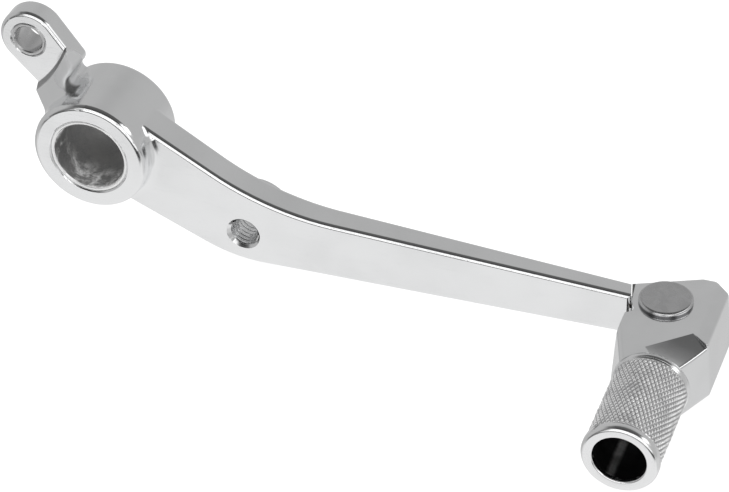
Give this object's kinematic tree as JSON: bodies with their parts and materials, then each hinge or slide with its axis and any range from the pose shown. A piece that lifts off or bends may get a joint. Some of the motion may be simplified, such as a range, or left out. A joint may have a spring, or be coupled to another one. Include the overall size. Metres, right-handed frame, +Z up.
{
  "type": "gear shift lever",
  "caption": "Polished motorcycle gear shift lever with a bushed pivot hub, a linkage ear and a sprung, folding, knurled toe peg.",
  "frame": {"origin": "middle of the pivot bore, on its axis", "axes": "+Y along the pivot axis away from the toe peg (towards the engine), +X from the pivot towards the toe, +Z up, square to both"},
  "size_m": [0.1822, 0.0656, 0.0622],
  "materials": {
    "polished_aluminium": "mirror polished with light handling marks",
    "knurled_aluminium": "bright, diamond knurled",
    "satin_steel": "fine turned satin",
    "worn_bush_steel": "dull sintered bore with smeared grease marks",
    "bright_bush_steel": "bright turned",
    "bronze": "plain machined",
    "black_oxide_steel": "black oxide, slightly oily",
    "zinc_steel": "clear zinc plate",
    "spring_steel": "drawn wire, light oil"
  },
  "bodies": {
    "lever": {"lever_arm": "polished_aluminium", "pivot_bush": "worn_bush_steel", "linkage_bush": "bright_bush_steel", "hinge_bush": "bronze", "fold_spring": "spring_steel"},
    "toe": {"toe_block": "polished_aluminium", "toe_peg": "knurled_aluminium", "peg_screw": "black_oxide_steel", "peg_washer": "black_oxide_steel", "hinge_pin": "satin_steel", "pin_washer": "zinc_steel", "pin_clip": "black_oxide_steel", "upper_thrust_washer": "bronze", "lower_thrust_washer": "bronze"}
  },
  "joints": [
    {"name": "toe_fold", "type": "hinge", "parent": "lever", "child": "toe", "pos_m": [0.14127, -0.00413, -0.0214], "axis": [0, 0, -1], "range_deg": [0, 35], "stiffness_Nm_per_rad": 0.15, "springref_deg": -20.05, "deforming": ["fold_spring"]}
  ]
}
